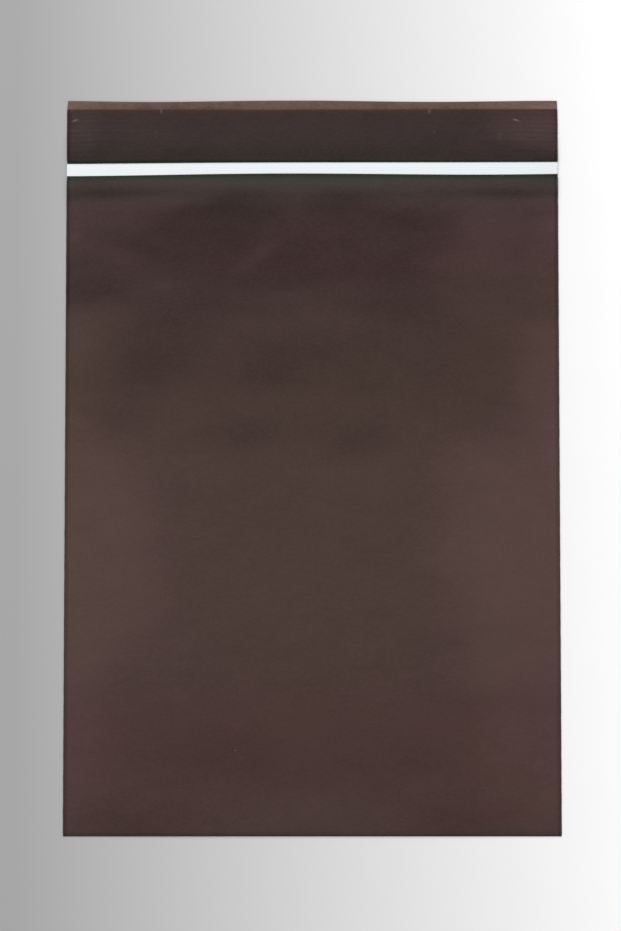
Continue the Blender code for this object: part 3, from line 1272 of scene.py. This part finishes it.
@dataclass
class FrontLip:
    """The ribbed strip of film above the zipper, which comes down towards the rear lip."""

    shape: BagShape
    rows: int = 150
    column_count: int = 300
    side_inset: float = 0.00012
    rib_pitch: float = 0.00235
    rib_margin: float = 0.0022
    rib_height: float = 0.000055
    dent_depth: float = 0.00006
    sway_height: float = 0.00009
    sway_length: float = 0.052
    warmth: float = 0.72
    # Painted highlights: a broad one below the free edge and a thin one along it.
    top_highlight: Tint = Tint(0.28)
    top_highlight_reach: float = 0.0030
    edge_highlight: Tint = Tint(0.32)
    edge_highlight_reach: float = 0.0008
    edge_highlight_fade: float = 0.6
    brim: Tint = Tint(0, 0.50, -1.2)
    brim_reach: float = 0.00135
    # Painted shade along the lip's lower edge at the zipper, deeper on the left.
    foot_shade: Tint = Tint(-0.45, -0.22)
    foot_shade_left: Tint = Tint(-0.30)
    foot_shade_reach: float = 0.0005
    foot_shade_reach_left: float = 0.0003
    cool_foot: Tint = Tint(warmth=-0.50)
    cool_reach: float = 0.0045
    plum_foot: Tint = Tint(plum=0.30)
    plum_reach: float = 0.0015
    low_wander: EdgeWander = EdgeWander(-0.545, ((0.505, 0.21), (-0.19, 0.05)))
    top_wander: EdgeWander = EdgeWander(-0.45, ((0.14, 0.01), (-0.04, -0.03), (0.03, -0.03)))
    shade: Patches = FRONT_LIP_SHADE
    ends_plum: Patches = FRONT_LIP_PLUM

    def points(self) -> Array:
        """Points of the outer face, from the free edge down to the zipper.

        Across the bag the columns lie at 1.25 u - 0.25 u^3, so they are closest at the sides.
        The ribs are raised cosines, rib_height * cos^2(pi * way / rib_pitch), every second one lower.
        They grow towards the sides with the fourth power of x, and more on the right. Grip marks are
        small dents.

        Returns:
            An array of rows x columns x 3.
        """
        shape = self.shape
        u = np.linspace(-1, 1, self.column_count)[None, :]
        x = (1.25 * u - 0.25 * u**3) * (shape.half_width - self.side_inset)
        y = np.linspace(shape.lip_top_y, shape.strip_top_y, self.rows)[:, None]
        share = (y - shape.strip_top_y) / (shape.lip_top_y - shape.strip_top_y)
        z = shape.front_height(x, y + 0 * x)
        way = (shape.lip_top_y - self.rib_margin - y) / self.rib_pitch
        crest = np.cos(np.pi * way) ** 2
        ends = ease((share - 0.04) / 0.08) * ease((0.96 - share) / 0.08)
        reach = x / shape.half_width
        side = (0.05 + 0.95 * reach**4) * (0.78 + 0.22 * reach)
        count = np.round(way)
        uneven = 1 - 0.65 * (count % 2) + 0.10 * np.sin(2.4 * count + 9 * reach)
        ribs = self.rib_height * crest * ends * side * uneven
        dents = self.dent_depth * zones_at(LIP_FILM.dents_with_highlights, x, y)
        wave = np.sin(2 * np.pi * x / self.sway_length + 1.1) * ease((0.1 - abs(x)) / 0.02)
        sway = self.sway_height * wave * share
        spread = shape.end_spread(x, y)
        low = (1 - share) ** 3 * (self.low_wander.at(x, shape.width) + spread)
        top = share**6 * (self.top_wander.at(x, shape.width) + spread)
        y_moved = y + low + top
        points = [np.broadcast_to(x, z.shape), y_moved, z + ribs - dents + sway]
        return np.stack(points, axis=-1)

    def marks(self, points: Array) -> dict[str, Array]:
        """Tone, warmth and plum tint of the lip.

        Painted shade lies along the zipper at the lip's lower edge, deeper on the left. Along the free
        edge runs a thin painted highlight, strongest in the middle, over a broader painted highlight.

        Args:
            points: The points of the outer face.

        Returns:
            The marks by name.
        """
        shape = self.shape
        x = points[..., 0]
        y = points[..., 1]
        up = y - y[-1:]
        down = y[:1] - y
        left = 1 - x / shape.half_width
        foot_shade = bell(up, self.foot_shade_reach + self.foot_shade_reach_left * left)
        middle = 1 - self.edge_highlight_fade * (x / shape.half_width) ** 2
        marks = Marks(self.shade.at(x, y), self.warmth + 0 * x, self.ends_plum.at(x, y))
        # Painted shade just inside each weld, and a painted highlight along its ridge.
        marks.add(lines_at(WELD_SHADE_AND_HIGHLIGHT, shape.side_distance(x)), Tint(tone=1))
        # Painted highlight below the free edge.
        marks.add(np.exp(-down / self.top_highlight_reach), self.top_highlight)
        # Painted shade along the lip's lower edge at the zipper, deeper on the left.
        marks.add(foot_shade, self.foot_shade)
        marks.add(left * foot_shade, self.foot_shade_left)
        # Thin painted highlight along the free edge.
        marks.add(middle * bell(down, self.edge_highlight_reach), self.edge_highlight)
        marks.add(np.exp(-up / self.cool_reach), self.cool_foot)
        marks.add(np.exp(-up / self.plum_reach), self.plum_foot)
        marks.add(bell(down, self.brim_reach, 4), self.brim)
        return marks.named(darkest=-0.40, lightest=1.3)

    def build(self) -> bpy.types.Object:
        """Builds the lip with its marks, its thickness and its finish.

        Returns:
            The piece.
        """
        shape = self.shape
        points = self.points()
        marks = self.marks(points)
        piece = Surface("front_lip_film", points, marks=marks).build()
        thicken(piece, shape.film)
        piece.data.materials.append(LIP_FILM.material())
        piece.data.materials.append(INNER_FILM.material())
        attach(piece, "root")
        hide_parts("front_lip")
        return piece


@dataclass
class SideWelds:
    """The beads of melted film that close the two sides, below and above the white strip."""

    shape: BagShape
    radius: float = 0.00024
    overhang: float = 0.00003
    proud: float = 0.00003
    steps_round: int = 12
    pitch: float = 0.0012
    strip_gap: float = 0.0006
    lip_gap: float = 0.0002
    end_gap: float = 0.0001
    end_run: float = 0.0005

    def tube(self, side: Side, low: float, high: float) -> bpy.types.Object:
        """One bead along a side.

        Its section is an oval as tall as the stack of films at that place, and both its width and
        its height waver by a few hundredths of a millimetre.

        Args:
            side: The side of the bag.
            low: Lower end of the bead.
            high: Upper end of the bead.

        Returns:
            The bead.
        """
        shape = self.shape
        y = np.linspace(low, high, int((high - low) / self.pitch))[None, :]
        turns = np.linspace(0, 2 * np.pi, self.steps_round, endpoint=False)[:, None]
        phase = side.value * 1.3
        waver = np.sin(y / 0.0017 + phase) * np.sin(y / 0.0061 + 2 * phase)
        ends = np.sqrt(np.clip(np.minimum(y - low, high - y) / self.end_run, 0.15, 1))
        across = self.radius * (1 + 0.14 * waver) * ends
        stack = shape.front_height(np.full(y.shape, shape.half_width), y)
        tall = (stack / 2 + self.proud * (1 + 0.6 * waver)) * ends
        middle = side.value * (shape.half_width + self.overhang - self.radius)
        x = middle - across * np.cos(turns)
        z = stack / 2 + self.proud + tall * np.sin(turns)
        points = np.stack([x, y + 0 * turns, np.maximum(z, 0)], axis=-1)
        return Surface("weld", points, closed_rows=True, capped=True).build()

    def build(self) -> list[bpy.types.Object]:
        """Builds both welds.

        Returns:
            The two pieces.
        """
        shape = self.shape
        made = []
        for side in Side:
            front_end = shape.strip_low_y - self.strip_gap
            below = self.tube(side, shape.bottom_y + self.end_gap, front_end)
            lip_start = shape.strip_top_y + self.lip_gap
            above = self.tube(side, lip_start, shape.lip_top_y - self.end_gap)
            piece = joined(f"side_weld_{side.name.lower()}", [below, above])
            piece.data.materials.append(WELDED_FILM.material())
            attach(piece, "root")
            made.append(piece)
        return made


@dataclass
class Zipper:
    """The two white tracks that press into each other."""

    shape: BagShape
    columns: int = 121
    flange: float = 0.00026
    hook_wall: float = 0.00034
    hook_lip: float = 0.00026
    stem_width: float = 0.00056
    head_width: float = 0.00124
    head_height: float = 0.00052
    track_clearance: float = 0.0001
    corner: float = 0.00006
    corner_steps: int = 4
    face_steps: int = 81
    groove_pitch: float = 0.00080
    groove_depth: float = 0.000028
    crown: float = 0.00004
    face_shift: float = -0.0006

    def rounded(self, corners: Array) -> Array:
        """The outline through the corners, with a small arc at each.

        For a corner with unit directions u and v to its neighbours and reach r, the arc is the
        quadratic curve from corner + r u over the corner to corner + r v.

        Args:
            corners: The corners, as n x 2.

        Returns:
            The outline, as m x 2.
        """
        before = np.roll(corners, 1, axis=0) - corners
        after = np.roll(corners, -1, axis=0) - corners
        span = np.minimum(np.linalg.norm(before, axis=1), np.linalg.norm(after, axis=1))
        reach = np.minimum(self.corner, span * 0.45)[:, None]
        first = corners + reach * before / np.linalg.norm(before, axis=1)[:, None]
        last = corners + reach * after / np.linalg.norm(after, axis=1)[:, None]
        t = np.linspace(0, 1, self.corner_steps)[None, :, None]
        arcs = (1 - t) ** 2 * first[:, None] + 2 * t * (1 - t) * corners[:, None]
        return (arcs + t**2 * last[:, None]).reshape(-1, 2)

    def front_outline(self) -> Array:
        """Section of the front track, against the clock: grooved face, then flange and hooks.

        The face is a low arch, crown * (1 - s^2) for s from -1 to 1, with shallow cosine grooves.

        Returns:
            The (y, z) points.
        """
        shape = self.shape
        half = (shape.flange_high_y - shape.flange_low_y) / 2
        face_z = shape.front_face_z
        under = face_z - self.flange
        tip = shape.film + shape.clearance + self.flange + self.track_clearance
        ledge = tip + self.hook_lip
        mouth = self.stem_width / 2 + self.track_clearance
        inner = self.head_width / 2 + self.track_clearance
        outer = inner + self.hook_wall
        right = [(mouth, ledge), (mouth, tip), (outer, tip), (outer, under), (half, under)]
        hollow = [(-inner, under), (inner, under), (inner, ledge)]
        left = [(-y, z) for y, z in reversed(right)]
        left_face = [(-half, face_z), *left, (-inner, ledge)]
        lower = self.rounded(np.array([*left_face, *hollow, *right, (half, face_z)]))
        s = np.linspace(0.985, -0.985, self.face_steps)
        way = s * half - self.face_shift
        strip = half - shape.film_lap
        arch = self.crown * np.clip(1 - (way / strip) ** 2, 0, None)
        groove = self.groove_depth * (0.5 - 0.5 * np.cos(2 * np.pi * way / self.groove_pitch))
        inside = ease((strip - abs(way)) / 0.0004)
        face = np.stack([s * half, face_z + arch - groove * inside], axis=1)
        outline = np.concatenate([lower[self.corner_steps : -self.corner_steps], face])
        return outline + np.array([shape.zipper_y, 0])

    def build(self) -> list[bpy.types.Object]:
        """Builds the front track and finishes the rear one.

        Each point of the section is carried straight across the bag and pressed by the squeeze.

        Returns:
            The two tracks.
        """
        shape = self.shape
        outline = self.front_outline()
        u = np.linspace(-1, 1, self.columns)
        x = (shape.half_width * (1.3 * u - 0.3 * u**3))[None, :]
        y = outline[:, :1] + 0 * x
        z = shape.pressed(x + 0 * y, y, outline[:, 1:] + 0 * x)
        points = np.stack([x + 0 * y, y, z], axis=-1)
        front = Surface("white_front_track", points, closed_rows=True, capped=True).build()
        front.data.materials.append(FRONT_WHITE.material())
        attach(front, "root")
        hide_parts("zipper_front_track")
        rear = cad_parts["zipper_rear_track"]
        rear.data.materials.clear()
        rear.data.materials.append(REAR_WHITE.material())
        return [front, rear]


@dataclass
class Softbox:
    """A large soft light that looks at the middle of the bag."""

    name: str
    azimuth: float
    elevation: float
    distance: float
    size: float
    power: float
    tint: Colour = (1.0, 1.0, 1.0)

    def build(self) -> bpy.types.Object:
        """Places the light; azimuth 0 is in front of the bag's bottom and 180 behind its mouth.

        Returns:
            The light.
        """
        a = math.radians(self.azimuth)
        e = math.radians(self.elevation)
        way = Vector((math.sin(a) * math.cos(e), -math.cos(a) * math.cos(e), math.sin(e)))
        data = bpy.data.lights.new(self.name, "AREA")
        data.shape = "SQUARE"
        data.size = self.size
        data.energy = self.power
        data.color = self.tint
        light = bpy.data.objects.new(self.name, data)
        light.location = way * self.distance
        light.rotation_mode = "QUATERNION"
        light.rotation_quaternion = (-way).to_track_quat("-Z", "Y")
        bpy.context.scene.collection.objects.link(light)
        return light


@dataclass
class Studio:
    """Floor, lights and camera."""

    shape: BagShape
    elevation: float = 58.16
    pixel: float = 0.41084 * MM
    frame_rows: int = 931
    aim_right: float = -1.8
    aim_up: float = 0.05
    lens: float = 1000.0
    sensor: float = 36.0
    floor_half: float = 3.0
    floor_z: float = -0.00004
    sky: float = 0.68
    softboxes: tuple[Softbox, ...] = (
        Softbox("key_softbox", 192, 28, 2.2, 1.2, 19.0),
        Softbox("top_softbox", 20, 84, 2.4, 2.0, 11.5),
    )

    def floor(self) -> bpy.types.Object:
        """The pale floor, a flat sheet just under the bag.

        Returns:
            The floor.
        """
        side = np.linspace(-self.floor_half, self.floor_half, 3)
        x, y = np.meshgrid(side, side[::-1])
        points = np.stack([x, y, np.full(x.shape, self.floor_z)], axis=-1)
        piece = Surface("floor", points).build()
        piece.data.materials.append(FloorFinish().material())
        return piece

    def camera(self) -> bpy.types.Object:
        """The camera, far off with a long lens, so the bag's sides stay all but parallel.

        Returns:
            The camera.
        """
        e = math.radians(self.elevation)
        back = Vector((0, -math.cos(e), math.sin(e)))
        up = Vector((0, math.sin(e), math.cos(e)))
        aim = Vector((1, 0, 0)) * self.aim_right * self.pixel + up * self.aim_up * self.pixel
        data = bpy.data.cameras.new("camera")
        data.lens = self.lens
        data.sensor_width = self.sensor
        distance = self.frame_rows * self.pixel * self.lens / self.sensor
        data.clip_start = 0.1
        data.clip_end = 3 * distance
        made = bpy.data.objects.new("camera", data)
        made.location = aim + back * distance
        made.rotation_mode = "QUATERNION"
        made.rotation_quaternion = (-back).to_track_quat("-Z", "Y")
        bpy.context.scene.collection.objects.link(made)
        bpy.context.scene.camera = made
        return made

    def build(self) -> list[bpy.types.Object]:
        """Builds the stage and sets an even pale sky and an unchanged view of colours.

        Returns:
            Floor, camera and lights.
        """
        world = bpy.data.worlds.new("studio")
        world.use_nodes = True
        sky = world.node_tree.nodes["Background"]
        sky.inputs["Color"].default_value = (1.0, 1.0, 1.0, 1.0)
        sky.inputs["Strength"].default_value = self.sky
        bpy.context.scene.world = world
        bpy.context.scene.view_settings.view_transform = "Standard"
        lights = [box.build() for box in self.softboxes]
        return [self.floor(), self.camera(), *lights]


def main() -> None:
    """Builds the bag's pieces and the studio in order."""
    logging.basicConfig(level=logging.INFO, format="%(name)s: %(message)s", stream=sys.stdout)
    shape = BagShape.from_frame()
    film = FoldedFilm(shape).build()
    log.info("%s: %d points", film.name, len(film.data.vertices))
    lip = FrontLip(shape).build()
    log.info("%s: %d points", lip.name, len(lip.data.vertices))
    for piece in SideWelds(shape).build() + Zipper(shape).build():
        log.info("%s: %d points", piece.name, len(piece.data.vertices))
    for thing in Studio(shape).build():
        log.info("%s in place", thing.name)


if __name__ == "__main__":
    main()
